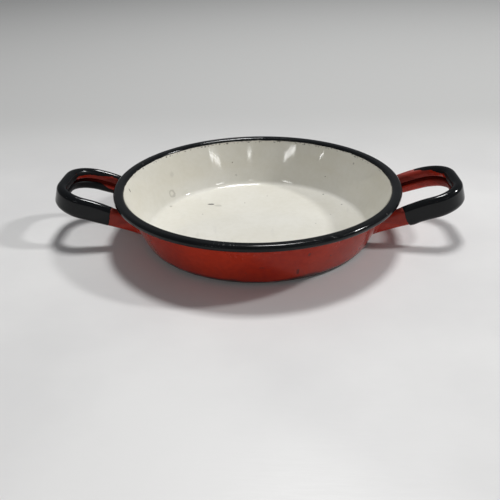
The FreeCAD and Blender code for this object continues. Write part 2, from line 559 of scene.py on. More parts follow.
@dataclass(frozen=True)
class Tabletop:
    """Plain pale floor, faintly uneven like satin paint, with painted shade darkening it towards the
    back.
    """

    name: str = "pale_floor"
    colour: Colour = (0.76, 0.755, 0.745, 1.0)
    deep: Colour = (0.68, 0.675, 0.67, 1.0)
    # Painted shade colour towards the back, and the depths where it starts and is full.
    away: Colour = (0.53, 0.53, 0.52, 1.0)
    shade_from: float = 20 * MM
    shade_to: float = 260 * MM
    patches: Pattern = Pattern(7.0, 5.0, 0.0, 0.35, 0.65)
    stroke_grain: float = 90.0
    stroke_depth: float = 0.00005
    gloss: float = 0.34
    uneven: float = 0.15

    def make(self) -> bpy.types.Material:
        """Build the material."""
        surface = Surface(self.name)
        colour = surface.tint(self.patches.on(surface), self.colour, self.deep)
        # Painted shade: the floor darkens towards the back, standing in for the light's falloff.
        far = surface.axis("Y").ease(self.shade_from, self.shade_to)
        colour = surface.tint(far, colour, self.away)
        stroke = surface.cloud(self.stroke_grain, detail=3.0, shift=1.5, stretch=(1.0, 6.0, 1.0))
        return surface.shade(Base_Color=colour, Roughness=self.gloss + stroke * self.uneven,
                             Normal=surface.bump(stroke, self.stroke_depth))


DARK = (0.03, 0.026, 0.024, 1.0)
GREY = (0.33, 0.31, 0.27, 1.0)

INSIDE_MARKS = (
    Mark((-56.2 * MM, 35.2 * MM, 7.0 * MM), 3.0 * MM, GREY, hollow=0.42, strength=0.42),
    Mark((-56.4 * MM, 42.4 * MM, 17.4 * MM), 2.6 * MM, GREY, strength=0.22, soft=0.8),
    Mark((-56.1 * MM, 27.3 * MM, 1.6 * MM), 0.9 * MM, GREY, strength=0.8),
    Mark((-73.6 * MM, -1.3 * MM, 25.1 * MM), 0.9 * MM, DARK, (0.6, 1.3, 0.6)),
    Mark((-30.7 * MM, 30.6 * MM, 1.6 * MM), 1.1 * MM, DARK, (0.45, 1.0, 1.0)),
    Mark((-26.1 * MM, 28.3 * MM, 1.6 * MM), 1.7 * MM, GREY, (0.6, 1.0, 1.0), strength=0.4),
    Mark((-34.7 * MM, 15.6 * MM, 1.6 * MM), 0.6 * MM, GREY),
    Mark((-16.6 * MM, 64.6 * MM, 8.0 * MM), 1.2 * MM, GREY, strength=0.35, soft=0.7),
    Mark((41.7 * MM, 45.9 * MM, 1.6 * MM), 0.65 * MM, DARK, strength=0.9),
    Mark((52.3 * MM, 29.5 * MM, 1.6 * MM), 0.6 * MM, DARK, strength=0.8),
    Mark((59.6 * MM, 42.6 * MM, 24.1 * MM), 0.9 * MM, GREY, strength=0.7),
    Mark((34.4 * MM, 2.4 * MM, 1.6 * MM), 0.5 * MM, GREY, strength=0.7),
    Mark((44.2 * MM, 14.8 * MM, 1.6 * MM), 0.5 * MM, GREY, strength=0.6),
)

OUTSIDE_MARKS = (
    Mark((27.1 * MM, -67.8 * MM, 19.4 * MM), 1.1 * MM, DARK, (1.3, 1.0, 0.6), strength=0.6),
    Mark((21.7 * MM, -64.7 * MM, 7.5 * MM), 1.7 * MM, DARK, (2.0, 1.0, 0.6), strength=0.6),
    Mark((4.0 * MM, -70.4 * MM, 13.0 * MM), 1.0 * MM, DARK, (0.6, 1.0, 1.3), strength=0.35),
    Mark((-4.0 * MM, -68.4 * MM, 9.0 * MM), 0.7 * MM, DARK, (0.6, 1.0, 1.3), strength=0.3),
)

WHITE_GLAZE = InsideGlaze("cream_enamel", (0.74, 0.725, 0.665, 1.0), (0.68, 0.66, 0.585, 1.0),
                          (0.20, 0.17, 0.13, 1.0), marks=INSIDE_MARKS, gloss=0.03, rub=0.06,
                          ripple_depth=0.000007, peel_depth=0.0000008)
RED_GLAZE = OutsideGlaze("red_enamel", (0.52, 0.034, 0.009, 1.0), (0.34, 0.018, 0.007, 1.0),
                         (0.05, 0.008, 0.006, 1.0), marks=OUTSIDE_MARKS, gloss=0.13, rub=0.2,
                         shine=0.32)
BLACK_GLAZE = Glaze("black_enamel", (0.0028, 0.0036, 0.0046, 1.0), (0.006, 0.0068, 0.0075, 1.0),
                    (0.08, 0.075, 0.07, 1.0), fleck_share=0.03, gloss=0.09, rub=0.18,
                    ripple_depth=0.00004, shine=0.26)


# ---------------------------------------------------------------------------------------------
# Lines, sections and sweeps
# ---------------------------------------------------------------------------------------------


def clamped(share: float) -> float:
    """A share held between 0 and 1."""
    return min(1.0, max(0.0, share))


def eased(start: float, end: float, share: float) -> float:
    """Smooth step from start to end, held past both."""
    share = clamped(share)
    return start + (end - start) * share * share * (3 - 2 * share)


def rolled(share: float) -> float:
    """Height of a rounded edge: 0 at the edge, 1 from share 1 on."""
    return math.sqrt(1 - (1 - clamped(share)) ** 2)


def spread(pairs: Sequence[Pair], place: float) -> float:
    """Read a value between listed (place, value) pairs, smoothly, and held past both ends."""
    if place <= pairs[0][0]:
        return pairs[0][1]
    for (low, start), (high, end) in zip(pairs, pairs[1:]):
        if place <= high:
            return eased(start, end, (place - low) / (high - low))
    return pairs[-1][1]


def shell_faces(rows: int, columns: int) -> list[tuple[int, ...]]:
    """Faces of a closed shell made of two grids of points, one above the other.

    Args:
        rows: points in the first direction.
        columns: points in the second direction.

    Returns:
        Quads over both grids and round their border.
    """
    layer = rows * columns
    faces: list[tuple[int, ...]] = []
    for row in range(rows - 1):
        for column in range(columns - 1):
            a = row * columns + column
            quad = (a, a + 1, a + columns + 1, a + columns)
            faces.append(quad)
            faces.append(tuple(item + layer for item in reversed(quad)))
    ring = list(range(columns - 1))
    ring += [row * columns + columns - 1 for row in range(rows - 1)]
    ring += [(rows - 1) * columns + column for column in range(columns - 1, 0, -1)]
    ring += [row * columns for row in range(rows - 1, 0, -1)]
    for this, after in zip(ring, ring[1:] + ring[:1]):
        faces.append((this, after, after + layer, this + layer))
    return faces


@dataclass(frozen=True)
class Stretch:
    """A straight run of that size when turn is 0, else an arc turning left by that angle."""

    size: float
    turn: float = 0.0

    def length(self) -> float:
        """Length along the stretch."""
        return self.size if self.turn == 0.0 else self.size * abs(self.turn)


@dataclass(frozen=True)
class Line:
    """A smooth plane line of stretches, read by distance along it and offset to its left."""

    start: Pair
    heading: float
    stretches: tuple[Stretch, ...]

    def mark(self, count: int) -> float:
        """Distance along the line to the end of its first count stretches."""
        return sum(stretch.length() for stretch in self.stretches[:count])

    def total(self) -> float:
        """Length of the whole line."""
        return self.mark(len(self.stretches))

    def at(self, distance: float, offset: float = 0.0) -> Pair:
        """Point at a distance along the line, moved left by offset.

        Args:
            distance: how far along.
            offset: how far to the left.

        Returns:
            The point's two coordinates.
        """
        x, z = self.start
        heading = self.heading
        left = distance
        for index, stretch in enumerate(self.stretches):
            last = index == len(self.stretches) - 1
            run = left if last else min(left, stretch.length())
            if stretch.turn == 0.0:
                x += run * math.cos(heading)
                z += run * math.sin(heading)
            else:
                side = math.copysign(1.0, stretch.turn)
                centre_x = x - side * stretch.size * math.sin(heading)
                centre_z = z + side * stretch.size * math.cos(heading)
                heading += side * run / stretch.size
                x = centre_x + side * stretch.size * math.sin(heading)
                z = centre_z - side * stretch.size * math.cos(heading)
            left -= run
            if left <= 1e-12:
                break
        return x - offset * math.sin(heading), z + offset * math.cos(heading)

    def distances(self, begin: float, end: float, straight: float, arc: float) -> list[float]:
        """Even stations between two distances, closer together on arcs.

        Args:
            begin: first distance.
            end: last distance.
            straight: largest gap on a straight run.
            arc: largest turn between two stations on an arc.

        Returns:
            The distances, both ends included.
        """
        found = [begin]
        passed = 0.0
        for stretch in self.stretches:
            low = max(begin, passed)
            high = min(end, passed + stretch.length())
            passed += stretch.length()
            if high - low < 1e-9:
                continue
            gap = straight if stretch.turn == 0.0 else arc * stretch.size
            steps = max(1, math.ceil((high - low) / gap))
            found += [low + (high - low) * step / steps for step in range(1, steps + 1)]
        return found


@dataclass(frozen=True)
class Rail:
    """Stations that a section is swept along: where, which way is out, and which way is up."""

    points: list[Vector]
    outward: list[Vector]
    upward: list[Vector]


class SweptSkin:
    """Geometry Nodes tree that sweeps a section along a rail, with noise on its free edges."""

    INPUTS = (
        ("Rail", "NodeSocketGeometry"),
        ("Section", "NodeSocketObject"),
        ("Edge Wander", "NodeSocketFloat"),
        ("Wander Grain", "NodeSocketFloat"),
        ("Out Of Round", "NodeSocketFloat"),
        ("Seed", "NodeSocketFloat"),
        ("Finish", "NodeSocketMaterial"),
    )
    NOISE_REACH = (0.07, 0.07, 0.07)
    ROUND_GRAIN = 11.0
    ROUND_SEED = 4.0
    MERGE_GAP = 0.000002
    ROUND_UP = 0.0001

    def __init__(self) -> None:
        """Build the tree once, for every swept piece."""
        tree = bpy.data.node_groups.new("swept_skin", "GeometryNodeTree")
        self.sockets: dict[str, str] = {}
        for name, kind in self.INPUTS:
            item = tree.interface.new_socket(name, in_out="INPUT", socket_type=kind)
            self.sockets[name] = item.identifier
        tree.interface.new_socket("Skin", in_out="OUTPUT", socket_type="NodeSocketGeometry")
        self.tree = tree
        self._wire(Graph(tree))

    def _wire(self, graph: Graph) -> None:
        """Lay out the nodes: a grid whose points are placed by rail station and section point."""
        group = graph.add("NodeGroupInput", {}, {})
        given = {name: Value(graph, group.outputs[name]) for name, _ in self.INPUTS}
        section = graph.value("GeometryNodeObjectInfo", {}, {"Object": given["Section"]},
                              "Geometry")
        stations = self._count(graph, given["Rail"])
        corners = self._count(graph, section)
        grid = graph.value("GeometryNodeMeshGrid", {},
                           {"Vertices X": stations, "Vertices Y": corners}, "Mesh")
        index = graph.value("GeometryNodeInputIndex", {}, {})
        station = (index / corners + self.ROUND_UP).math("FLOOR")
        corner = index - station * corners
        place = self._sample(graph, given["Rail"], station, None)
        outward = self._sample(graph, given["Rail"], station, "outward")
        upward = self._sample(graph, given["Rail"], station, "upward")
        local = self._sample(graph, section, corner, None)
        drift = self._sample(graph, section, corner, "drift")
        along = self._vector(graph, "MULTIPLY_ADD", outward, self.NOISE_REACH, place)
        wander = self._noise(graph, along, given["Wander Grain"], given["Seed"])
        wander = wander * given["Edge Wander"]
        swell = self._noise(graph, along, self.ROUND_GRAIN, self.ROUND_SEED)
        swell = swell * given["Out Of Round"]
        part = graph.add("ShaderNodeSeparateXYZ", {}, {0: local})
        pull = graph.add("ShaderNodeSeparateXYZ", {}, {0: drift})
        out = Value(graph, part.outputs["X"]) + wander * Value(graph, pull.outputs["X"])
        out = out * (1.0 + swell)
        rise = Value(graph, part.outputs["Z"]) + wander * Value(graph, pull.outputs["Z"])
        moved = self._vector(graph, "ADD", place, self._scaled(graph, outward, out))
        moved = self._vector(graph, "ADD", moved, self._scaled(graph, upward, rise))
        placed = graph.value("GeometryNodeSetPosition", {}, {"Geometry": grid, "Position": moved})
        closed = graph.value("GeometryNodeMergeByDistance", {},
                             {"Geometry": placed, "Distance": self.MERGE_GAP})
        smooth = graph.value("GeometryNodeSetShadeSmooth", {}, {"Geometry": closed})
        # Store each point's share of painted shade and dulled gloss for the finish.
        with_shade = graph.value("GeometryNodeStoreNamedAttribute", {"data_type": "FLOAT"},
                            {"Geometry": smooth, "Name": "soot",
                             "Value": Value(graph, pull.outputs["Y"])})
        real = graph.value("GeometryNodeRealizeInstances", {}, {"Geometry": with_shade})
        done = graph.value("GeometryNodeSetMaterial", {},
                           {"Geometry": real, "Material": given["Finish"]})
        graph.add("NodeGroupOutput", {}, {"Skin": done})

    @staticmethod
    def _count(graph: Graph, geometry: Value) -> Value:
        """Number of points in a geometry."""
        return graph.value("GeometryNodeAttributeDomainSize", {}, {"Geometry": geometry},
                           "Point Count")

    @staticmethod
    def _sample(graph: Graph, geometry: Value, index: Value, name: "str | None") -> Value:
        """A point's position, or its named vector, by number."""
        if name is None:
            source = graph.value("GeometryNodeInputPosition", {}, {})
        else:
            source = graph.value("GeometryNodeInputNamedAttribute",
                                 {"data_type": "FLOAT_VECTOR"}, {"Name": name}, "Attribute")
        return graph.value("GeometryNodeSampleIndex", {"data_type": "FLOAT_VECTOR"},
                           {"Geometry": geometry, "Value": source, "Index": index})

    @staticmethod
    def _vector(graph: Graph, operation: str, *items: "Value | tuple") -> Value:
        """One Vector Math node."""
        return graph.value("ShaderNodeVectorMath", {"operation": operation},
                           dict(enumerate(items)))

    @staticmethod
    def _scaled(graph: Graph, vector: Value, size: Value) -> Value:
        """A vector times a number."""
        return graph.value("ShaderNodeVectorMath", {"operation": "SCALE"},
                           {0: vector, "Scale": size})

    @staticmethod
    def _noise(graph: Graph, point: Value, grain: "Value | float", seed: "Value | float") -> Value:
        """Noise of about -1 to 1."""
        found = graph.value("ShaderNodeTexNoise", {"noise_dimensions": "4D"},
                            {"Vector": point, "W": seed, "Scale": grain, "Detail": 3.0}, "Fac")
        return (found - 0.5) * 2.0

    def make(self, name: str, rail: Rail, section: "Section", finish: bpy.types.Material,
             wander: float = 0.0, grain: float = 120.0, round_error: float = 0.0,
             seed: float = 0.0) -> bpy.types.Object:
        """Sweep one piece and turn it into a plain mesh.

        Args:
            name: the piece's name.
            rail: stations to sweep along.
            section: outline to sweep.
            finish: its material.
            wander: how far the section's free edges wander.
            grain: how many times they wander in a metre.
            round_error: share by which the sweep is out of round.
            seed: picks the noise.

        Returns:
            The piece, at the origin.
        """
        outline = section.as_object(name + "_outline")
        carrier = bpy.data.objects.new(name + "_rail", self._rail_mesh(name, rail))
        bpy.context.scene.collection.objects.link(carrier)
        modifier = carrier.modifiers.new("swept_skin", "NODES")
        modifier.node_group = self.tree
        for key, item in (("Section", outline), ("Edge Wander", wander), ("Wander Grain", grain),
                          ("Out Of Round", round_error), ("Seed", seed), ("Finish", finish)):
            modifier[self.sockets[key]] = item
        bpy.context.view_layer.update()
        graph = bpy.context.evaluated_depsgraph_get()
        mesh = bpy.data.meshes.new_from_object(carrier.evaluated_get(graph))
        carrier.modifiers.clear()
        for spare in (carrier, outline):
            bpy.data.objects.remove(spare)
        return finished(name, mesh, finish)

    @staticmethod
    def _rail_mesh(name: str, rail: Rail) -> bpy.types.Mesh:
        """The rail as loose points that carry their directions."""
        mesh = bpy.data.meshes.new(name + "_rail")
        mesh.from_pydata([tuple(point) for point in rail.points], [], [])
        for key, vectors in (("outward", rail.outward), ("upward", rail.upward)):
            store = mesh.attributes.new(key, "FLOAT_VECTOR", "POINT")
            for item, vector in zip(store.data, vectors):
                item.vector = vector
        return mesh


@dataclass(frozen=True)
class Section:
    """A closed outline in the XZ plane.

    Each point may drift along the section's free edge, and may carry painted shade and dulled gloss.
    """

    points: list[Pair]
    drift: list[Pair] = field(default_factory=list)
    soot: list[float] = field(default_factory=list)

    def as_object(self, name: str) -> bpy.types.Object:
        """The outline as loose points, closed by repeating the first."""
        points = self.points + self.points[:1]
        drift = self.drift or [(0.0, 0.0)] * len(self.points)
        soot = self.soot or [0.0] * len(self.points)
        mesh = bpy.data.meshes.new(name)
        mesh.from_pydata([(x, 0.0, z) for x, z in points], [], [])
        store = mesh.attributes.new("drift", "FLOAT_VECTOR", "POINT")
        for item, (x, z), dark in zip(store.data, drift + drift[:1], soot + soot[:1]):
            item.vector = (x, dark, z)
        made = bpy.data.objects.new(name, mesh)
        bpy.context.scene.collection.objects.link(made)
        return made


CLOSE = 0.000001
SLIVER = 0.0000005


def finished(name: str, mesh: bpy.types.Mesh, finish: bpy.types.Material) -> bpy.types.Object:
    """Close, smooth and dress a mesh as a piece at the origin.

    Args:
        name: the piece's name.
        mesh: its mesh, in place.
        finish: its material.

    Returns:
        The linked object.
    """
    work = bmesh.new()
    work.from_mesh(mesh)
    bmesh.ops.remove_doubles(work, verts=work.verts, dist=CLOSE)
    bmesh.ops.dissolve_degenerate(work, edges=work.edges, dist=SLIVER)
    open_edges = [edge for edge in work.edges if edge.is_boundary]
    if open_edges:
        bmesh.ops.holes_fill(work, edges=open_edges, sides=0)
    bmesh.ops.recalc_face_normals(work, faces=work.faces)
    for face in work.faces:
        face.smooth = True
    work.to_mesh(mesh)
    work.free()
    mesh.name = name
    mesh.materials.clear()
    mesh.materials.append(finish)
    piece = bpy.data.objects.new(name, mesh)
    bpy.context.scene.collection.objects.link(piece)
    return piece


def joined(name: str, pieces: Sequence[bpy.types.Object],
           finish: bpy.types.Material) -> bpy.types.Object:
    """One piece made of several closed meshes.

    Args:
        name: the new piece's name.
        pieces: the pieces that it takes up.
        finish: its material.

    Returns:
        The joined piece.
    """
    work = bmesh.new()
    for piece in pieces:
        if "soot" not in piece.data.attributes:
            piece.data.attributes.new("soot", "FLOAT", "POINT")
        work.from_mesh(piece.data)
        bpy.data.objects.remove(piece)
    mesh = bpy.data.meshes.new(name)
    work.to_mesh(mesh)
    work.free()
    mesh.materials.append(finish)
    made = bpy.data.objects.new(name, mesh)
    bpy.context.scene.collection.objects.link(made)
    return made


def settle(piece: bpy.types.Object, zone: Zone, *nodes: str) -> None:
    """Hand a finished piece to the frame and log it.

    Args:
        piece: the piece.
        zone: the slot that it shows; not used.
        nodes: the CAD nodes that it stands for.
    """
    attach(piece, "root")
    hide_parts(*nodes)
    LOG.info("%s: %d faces, stands for %s", piece.name, len(piece.data.polygons),
             ", ".join(nodes))


# ---------------------------------------------------------------------------------------------
# Bowl
# ---------------------------------------------------------------------------------------------


@dataclass
class Bowl:
    """The pressed bowl with its rolled rim: steel, cream lining, red outside and black rim."""

    base_radius: float = field(default_factory=lambda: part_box("base_red_enamel")[1][0])
    rim_top: float = field(default_factory=lambda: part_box("rim_black_enamel")[1][2])
    half_steel: float = 0.5 * MM
    glaze: float = 0.3 * MM
    lap: float = 0.14 * MM
    corner_radius: float = 5.0 * MM
    wall_lean: float = math.radians(23.2)
    crown_radius: float = 1.5 * MM
    crown_width: float = 1.8 * MM
    curl_radius: float = 0.9 * MM
    curl_return: float = 1.2 * MM
    black_start: float = -0.1 * MM
    lining_lap: float = 1.5 * MM
    red_gap: float = 0.2 * MM
    tuck: float = 0.9
    edge_roll: float = 0.45 * MM
    edge_sink: float = 0.05 * MM
    edge_wander: float = 0.5 * MM
    wander_fade: float = 1.8 * MM
    wander_grain: float = 210.0
    wander_seed: float = 3.0
    straight_gap: float = 2.2 * MM
    arc_gap: float = math.radians(7.5)
    close_steps: tuple[float, ...] = (0.05, 0.12, 0.22, 0.36, 0.6, 1.0)
    stations: int = 480
    round_error: float = 0.0012

    def __post_init__(self) -> None:
        """Work out the sheet's line."""
        face = self.half_steel + self.glaze
        rise = math.pi / 2 - self.wall_lean
        bend = self.corner_radius - face
        foot = self.corner_radius - bend * math.cos(rise)
        crown = self.rim_top - face - self.crown_radius * (1 - math.sin(self.wall_lean))
        wall = (crown - foot) / math.cos(self.wall_lean)
        self.line = Line((0.0, face), 0.0, (
            Stretch(self.base_radius),
            Stretch(bend, rise),
            Stretch(wall),
            Stretch(self.crown_radius, -rise),
            Stretch(self.crown_width),
            Stretch(self.curl_radius, -math.pi),
            Stretch(self.curl_return),
        ))
        self.face = face

    def wall_reach(self, height: float, offset: float = 0.0) -> float:
        """Radius of the wall's red face at a height, plus an offset square to it."""
        foot = self.line.at(self.line.mark(2), -self.face)
        slope = math.tan(self.wall_lean)
        return foot[0] + (height - foot[1]) * slope + offset / math.cos(self.wall_lean)

    def rail(self) -> Rail:
        """Stations round the axis, the first repeated at the end."""
        angles = [2 * math.pi * number / self.stations for number in range(self.stations + 1)]
        out = [Vector((math.cos(angle), math.sin(angle), 0.0)) for angle in angles]
        return Rail([Vector()] * len(out), out, [UP] * len(out))

    def band(self, begin: float, end: float, low: Callable[[float], float],
             high: Callable[[float], float], wander: Callable[[float], float]) -> Section:
        """Closed band of the sheet's line between two offsets.

        Args:
            begin: where it starts along the line.
            end: where it ends.
            low: inner offset at a distance along the line.
            high: outer offset at a distance along the line.
            wander: share of the edge's wander that a distance takes.

        Returns:
            The section.
        """
        places = self.line.distances(begin, end, self.straight_gap, self.arc_gap)
        extra = [begin + step * MM for step in self.close_steps]
        extra += [end - step * MM for step in self.close_steps[:-1]]
        places = sorted(set(places + [item for item in extra if begin < item < end]))
        walk = [(place, high(place)) for place in places]
        walk += [(place, low(place)) for place in reversed(places)]
        points = []
        drift = []
        nudge = 0.01 * MM
        for place, offset in walk:
            x, z = self.line.at(place, offset)
            ahead_x, ahead_z = self.line.at(place + nudge, offset)
            share = wander(place)
            points.append((max(x, 0.0), z))
            drift.append(((ahead_x - x) / nudge * share, (ahead_z - z) / nudge * share))
        return Section(points, drift)

    def build(self, sweep: SweptSkin, finishes: dict[Zone, bpy.types.Material]) -> None:
        """Make the bowl's four pieces.

        Args:
            sweep: the sweeping tree.
            finishes: material of each zone.
        """
        rail = self.rail()
        end = self.line.total()
        crown = self.line.mark(3)
        black_from = crown + self.black_start
        tucked = self.half_steel * self.tuck

        def level(offset: float) -> Callable[[float], float]:
            """The same offset, or share, all along the line."""
            return lambda _: offset

        def black_face(place: float) -> float:
            """Offset of the black coat, rolled down at its inner edge."""
            lift = rolled((place - black_from) / self.edge_roll)
            return self.face - self.edge_sink + (self.lap + self.edge_sink) * lift

        def black_wander(place: float) -> float:
            """Full wander at the black coat's inner edge, fading out along the rim."""
            return max(0.0, 1 - (place - black_from) / self.wander_fade) ** 1.5

        still = level(0.0)
        steel = self.band(0.0, end, level(-self.half_steel), level(self.half_steel), still)
        white = self.band(0.0, black_from + self.lining_lap, level(tucked), level(self.face),
                          still)
        red = self.band(0.0, crown - self.red_gap, level(-self.face), level(-tucked), still)
        black = self.band(black_from, end, level(tucked), black_face, black_wander)
        for name, section, zone, nodes, wander in (
                ("bowl_steel", steel, Zone.STEEL, ("pan_shell",), 0.0),
                ("bowl_lining", white, Zone.WHITE, ("interior_white_enamel",), 0.0),
                ("bowl_outside", red, Zone.RED, ("wall_red_enamel", "base_red_enamel"), 0.0),
                ("rim_coat", black, Zone.BLACK, ("rim_black_enamel",), self.edge_wander)):
            piece = sweep.make(name, rail, section, finishes[zone], wander, self.wander_grain,
                               self.round_error, self.wander_seed)
            settle(piece, zone, *nodes)


# ---------------------------------------------------------------------------------------------
# Handles
# ---------------------------------------------------------------------------------------------


@dataclass(frozen=True)
class Run:
    """A thick spot in the black glaze: where along the loop, where round it, and how high."""

    along: float
    round: float
    size: float


@dataclass(frozen=True)
class Coat:
    """How the black glaze lies on a grip: its thickness, its rolled edge, and how it strays."""

    thickness: float = 0.17 * MM
    sink: float = 0.04 * MM
    roll: float = 0.5 * MM
    depth: float = 0.2 * MM
    girth: float = 22.0 * MM
    gap_along: float = 0.7 * MM
    gap_round: float = 0.42 * MM
    run_along: float = 3.2 * MM
    run_round: float = 2.4 * MM
    stray_turns: float = 16.0
    near_stray: float = 0.5 * MM
    far_stray: float = 1.3 * MM
    top_stray: float = 0.55 * MM
    bottom_stray: float = 0.45 * MM
    thin_from: float = 1.9
    thin_fade: float = 0.8


@dataclass(frozen=True)
class Dip:
    """Where the black glaze stops on one handle.

    near and far are distances along the tilted loop from the pan's axis, and slant is how much
    further out the near edge lies at the bottom than at the top. top and bottom list
    (place along the loop, distance round the section) pairs: places run from the near leg,
    negative, through the middle of the loop's end at 0 to the far leg.
    """

    near: float
    far: float
    top: tuple[Pair, ...]
    bottom: tuple[Pair, ...]
    runs: tuple[Run, ...] = ()
    slant: float = 0.0
    seed: float = 0.0


@dataclass
class Handle:
    """One loop handle: a curled steel strip, red glaze all over, and black glaze on the grip."""

    side: Side
    bowl: Bowl
    dip: Dip
    grip_height: float = 12.1 * MM
    grip_depth: float = 5.7 * MM
    strip: float = 1.2 * MM
    glaze: float = 0.3 * MM
    slot: float = 2.4 * MM
    leg_spacing: float = 41.2 * MM
    bend_radius: float = 14.4 * MM
    loop_reach: float = 116.4 * MM
    loop_tilt: float = math.radians(16.2)
    loop_drop: float = 6.0 * MM
    leg_root: float = 62.0 * MM
    taper: Triple = (0.74, 68.0 * MM, 98.0 * MM)
    far_swell: float = 0.05
    far_lift: float = 0.5 * MM
    far_span: float = 26 * MM
    end_bow: float = 1.1 * MM
    bow_span: float = 24 * MM
    bow_level: float = 0.4
    near_reach: float = 0.3 * MM
    sag: float = 2.0 * MM
    sag_from: float = 97.0 * MM
    sag_power: float = 1.3
    seat: float = 0.7 * MM
    lip_trim: float = 0.8
    foot_span: Pair = (17.6 * MM, 29.0 * MM)
    foot_heights: Pair = (9.4 * MM, 18.3 * MM)
    foot_rows: int = 26
    foot_columns: int = 34
    foot_corner: float = 3.2 * MM
    foot_lead: float = 4 * MM
    foot_roll: float = 1.3 * MM
    foot_share: float = 0.6
    foot_sink: float = 0.3 * MM
    foot_depth: float = 0.6 * MM
    coat: Coat = Coat()

    def __post_init__(self) -> None:
        """Work out the loop's and the section's lines."""
        straight = self.leg_spacing / 2 - self.bend_radius
        leg = self.loop_reach - self.bend_radius - self.leg_root
        self.half_path = Line((self.loop_reach, 0.0), math.pi / 2, (
            Stretch(straight),
            Stretch(self.bend_radius, math.pi / 2),
            Stretch(leg),
        ))
        radius = self.grip_depth / 2 - self.glaze - self.strip / 2
        web = self.grip_height - self.grip_depth
        lip = (web - self.slot) / 2
        self.section = Line((-radius, self.slot / 2), math.pi / 2, (
            Stretch(lip),
            Stretch(radius, -math.pi),
            Stretch(web),
            Stretch(radius, -math.pi),
            Stretch(lip),
        ))
        self.prefix = self.side.name.lower()
        self.node = self.prefix + "_handle"

    def path(self, place: float) -> tuple[Vector, Vector]:
        """Point and outward direction on the loop, bowed and sagging but not yet tilted.

        Args:
            place: distance from the middle of the loop's end, negative on the near leg.

        Returns:
            The point and the unit vector away from the loop's inside.
        """
        x, y = self.half_path.at(abs(place))
        out_x, out_y = self.half_path.at(abs(place), -1.0)
        flip = math.copysign(1.0, place)
        bent = math.cos(min(1.0, abs(place) / self.bow_span) * math.pi / 2)
        bow = self.end_bow * (bent - self.bow_level)
        bow += self.near_reach * (1 - self.far(y * flip))
        share = max(0.0, (self.sag_from - x) / (self.sag_from - self.leg_root))
        drop = self.far_lift * self.far(y * flip) - self.sag * share ** self.sag_power
        return Vector((x + bow, y * flip, drop)), Vector((out_x - x, (out_y - y) * flip, 0.0))

    def far(self, y: float) -> float:
        """0 on the near leg and 1 on the far one, eased round the loop's end."""
        return eased(0.0, 1.0, 0.5 + y / self.far_span)

    def rise(self, point: Vector) -> float:
        """Height of the section at a point of the loop, as a share of its full one."""
        least, low, high = self.taper
        tall = eased(least, 1.0, (point.x - low) / (high - low))
        return tall * (1 + self.far_swell * self.far(point.y))

    def rail(self) -> Rail:
        """Stations from the near leg's root, round the loop, to the far leg's root."""
        total = self.half_path.total()
        half = self.half_path.distances(0.0, total, 0.8 * MM, math.radians(3.0))
        places = [-place for place in reversed(half)] + half[1:]
        points, outward, upward = [], [], []
        for place in places:
            point, out = self.path(place)
            points.append(point)
            outward.append(out)
            upward.append(UP * self.rise(point))
        return Rail(points, outward, upward)

    def curl(self, thickness: float) -> Section:
        """Closed C section of a thickness, with rounded lips."""
        half = thickness / 2
        total = self.section.total()
        trim = half * self.lip_trim
        places = self.section.distances(trim, total - trim, 0.5 * MM, math.radians(11.0))
        outer = [self.section.at(place, half) for place in places]
        inner = [self.section.at(place, -half) for place in reversed(places)]
        last = self._lip(total - trim, half, False)
        first = self._lip(trim, half, True)
        # Painted shade: the loop's inner side, the lips and the channel inside are darkened as if in
        # shadow.
        soot = [0.5 * clamped(-x / MM - 0.6) for x, _ in outer]
        soot += [0.55] * len(last) + [1.0] * len(inner) + [0.55] * len(first)
        return Section(outer + last + inner + first, soot=soot)

    def _lip(self, place: float, half: float, first: bool) -> list[Pair]:
        """Half round that closes the section at one lip."""
        middle = self.section.at(place)
        edge = self.section.at(place, half)
        reach = (edge[0] - middle[0], edge[1] - middle[1])
        points = []
        for number in range(1, 8):
            angle = math.pi * number / 8
            turn = math.pi - angle if first else -angle
            points.append((middle[0] + reach[0] * math.cos(turn) - reach[1] * math.sin(turn),
                           middle[1] + reach[0] * math.sin(turn) + reach[1] * math.cos(turn)))
        return points

    def around(self, place: float, offset: float) -> Pair:
        """Point off the section's middle line, carried on round the lip past either end."""
        half = self.strip / 2 + self.glaze
        trim = half * self.lip_trim
        inside = min(max(place, trim), self.section.total() - trim)
        x, z = self.section.at(inside)
        out_x, out_z = self.section.at(inside, offset)
        turn = (inside - place) / half
        reach_x, reach_z = out_x - x, out_z - z
        return (x + reach_x * math.cos(turn) - reach_z * math.sin(turn),
                z + reach_x * math.sin(turn) + reach_z * math.cos(turn))

    def placed(self, piece: bpy.types.Object) -> bpy.types.Object:
        """Tilt a flat loop, seat its ends in the wall, and turn it to its side of the pan."""
        tilt = Matrix.Rotation(-self.loop_tilt, 4, "Y")
        drop = Matrix.Translation((0.0, 0.0, -self.loop_drop))
        mesh = piece.data
        mesh.transform(drop @ tilt)
        for vertex in mesh.vertices:
            spot = vertex.co
            seat = self.bowl.wall_reach(spot.z, -self.seat)
            if math.hypot(spot.x, spot.y) < seat:
                spot.x = math.sqrt(max(0.0, seat * seat - spot.y * spot.y))
        if self.side is Side.LEFT:
            mesh.transform(Matrix.Scale(-1.0, 4, (1.0, 0.0, 0.0)))
        return piece

